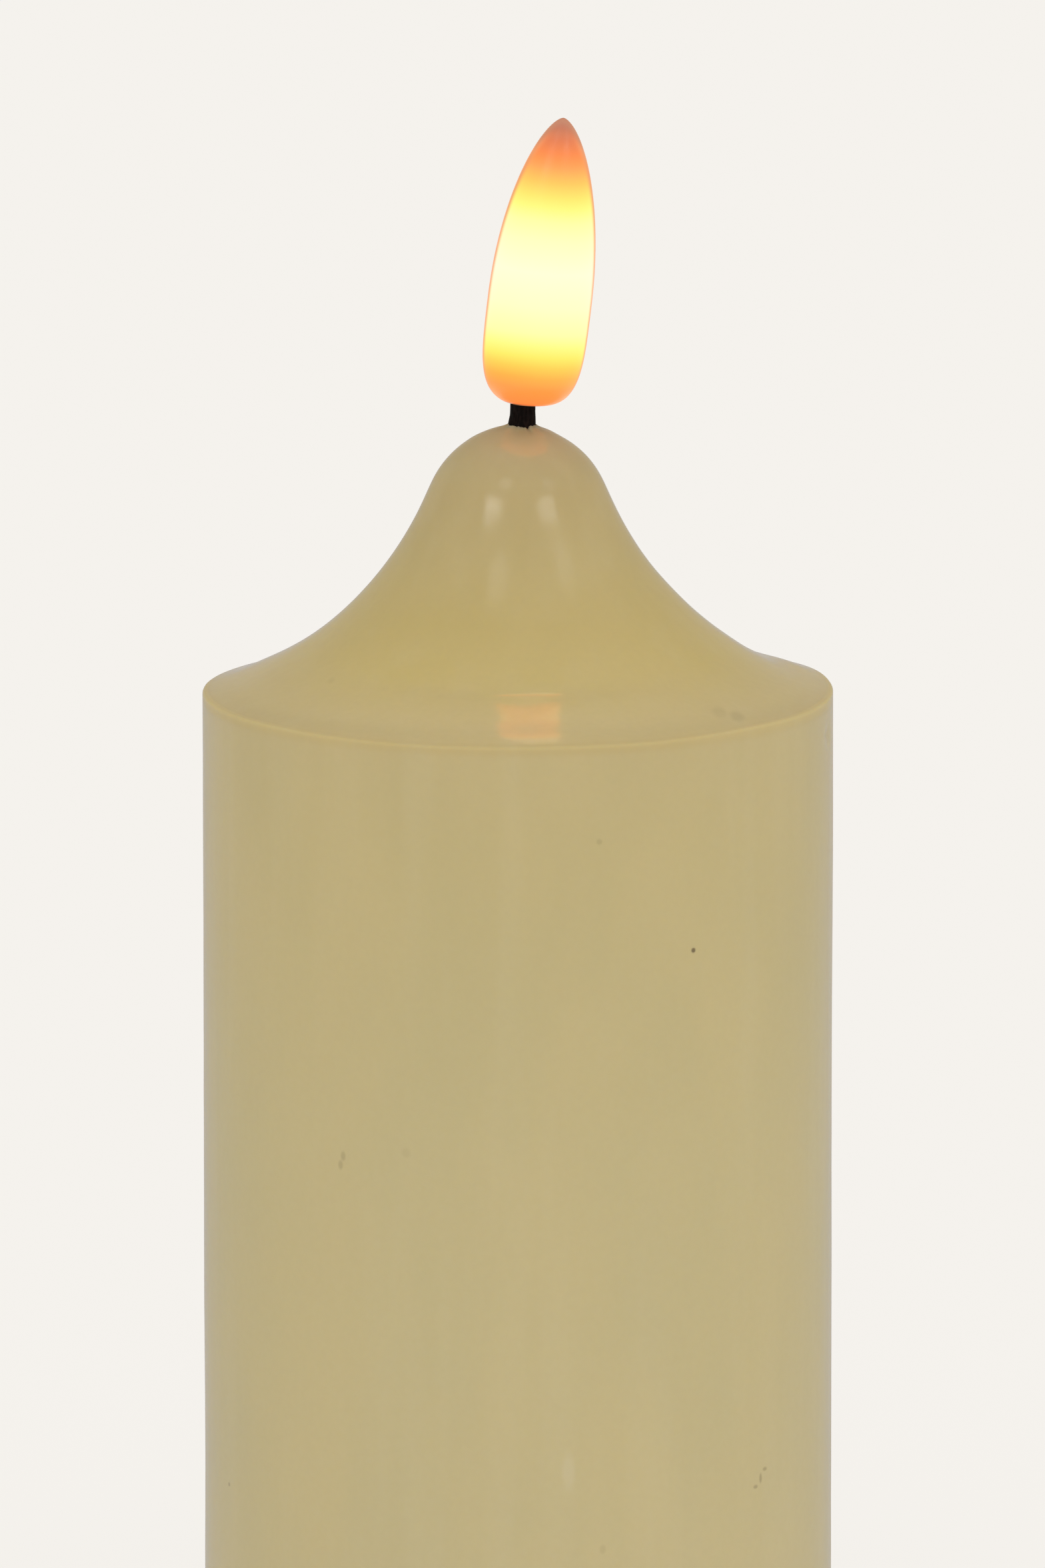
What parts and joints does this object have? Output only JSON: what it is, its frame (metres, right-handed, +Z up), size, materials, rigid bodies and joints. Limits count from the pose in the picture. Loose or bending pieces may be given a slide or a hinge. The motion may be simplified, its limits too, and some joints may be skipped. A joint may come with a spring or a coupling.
{
  "type": "flameless led candle",
  "caption": "Battery pillar candle: a hollow wax body with a bell-shaped top, a glowing moulded flame on a short black wick, and a slide switch and battery door underneath.",
  "frame": {"origin": "middle of the base, on the surface that the candle stands on", "axes": "+Z up towards the flame, -Y towards the front, +X towards the side that the flame leans to"},
  "size_m": [0.075, 0.075, 0.1874],
  "materials": {
    "wax": "smooth, softly glossy wax",
    "flame_plastic": "translucent, polished, lit from inside",
    "lamp_lens": "clear epoxy, lit",
    "tinned_wire": "bright tinned metal",
    "shrink_tube": "satin heat-shrink tube",
    "wick_black": "matt, fibrous",
    "holder_plastic": "moulded, matt",
    "red_wire": "satin insulation",
    "black_wire": "satin insulation",
    "hot_glue": "cloudy, smooth",
    "case_plastic": "moulded, finely textured",
    "screw_steel": "zinc plated",
    "black_rubber": "matt",
    "board_green": "lacquered board with copper tracks",
    "chip_black": "moulded epoxy",
    "crystal_steel": "drawn metal can",
    "capacitor_ceramic": "matt ceramic",
    "capacitor_sleeve": "shrunk plastic sleeve",
    "switch_steel": "stamped, tin plated",
    "wafer_brown": "pressed laminate",
    "slider_black": "moulded, finely textured",
    "contact_brass": "rolled spring strip",
    "contact_nickel": "nickel plated strip",
    "spring_steel": "nickel plated wire",
    "cell_jacket": "printed film over a steel can, with no markings",
    "door_plastic": "moulded, finely textured"
  },
  "bodies": {
    "candle": {"wax_body": "wax", "flame_shell": "flame_plastic", "led_lamp": "lamp_lens", "led_leads": "tinned_wire", "lead_sleeves": "shrink_tube", "wick_tube": "wick_black", "wick_holder": "holder_plastic", "flame_lead_red": "red_wire", "flame_lead_black": "black_wire", "glue_beads": "hot_glue", "module_lid": "case_plastic", "lid_screws": "screw_steel", "wire_grommet": "black_rubber", "base_housing": "case_plastic", "circuit_board": "board_green", "board_screws": "screw_steel", "controller_chip": "chip_black", "timer_crystal": "crystal_steel", "chip_resistors": "chip_black", "chip_capacitors": "capacitor_ceramic", "reservoir_capacitor": "capacitor_sleeve", "switch_can": "switch_steel", "switch_wafer": "wafer_brown", "switch_pins": "tinned_wire", "positive_plate": "contact_nickel", "negative_plate": "contact_nickel", "negative_spring": "spring_steel", "bridge_plate": "contact_nickel", "bridge_spring": "spring_steel", "battery_lead_red": "red_wire", "battery_lead_black": "black_wire", "cell_front": "cell_jacket", "cell_rear": "cell_jacket"},
    "switch": {"switch_slider": "slider_black", "switch_wiper": "contact_brass"},
    "door": {"battery_door": "door_plastic"}
  },
  "joints": [
    {"name": "switch_slide", "type": "slide", "parent": "candle", "child": "switch", "axis": [1, 0, 0], "range_m": [0, 0.004]},
    {"name": "door_hinge", "type": "hinge", "parent": "candle", "child": "door", "pos_m": [-0.02545, 0, 0.00175], "axis": [0, 1, 0], "range_deg": [0, 100]}
  ]
}
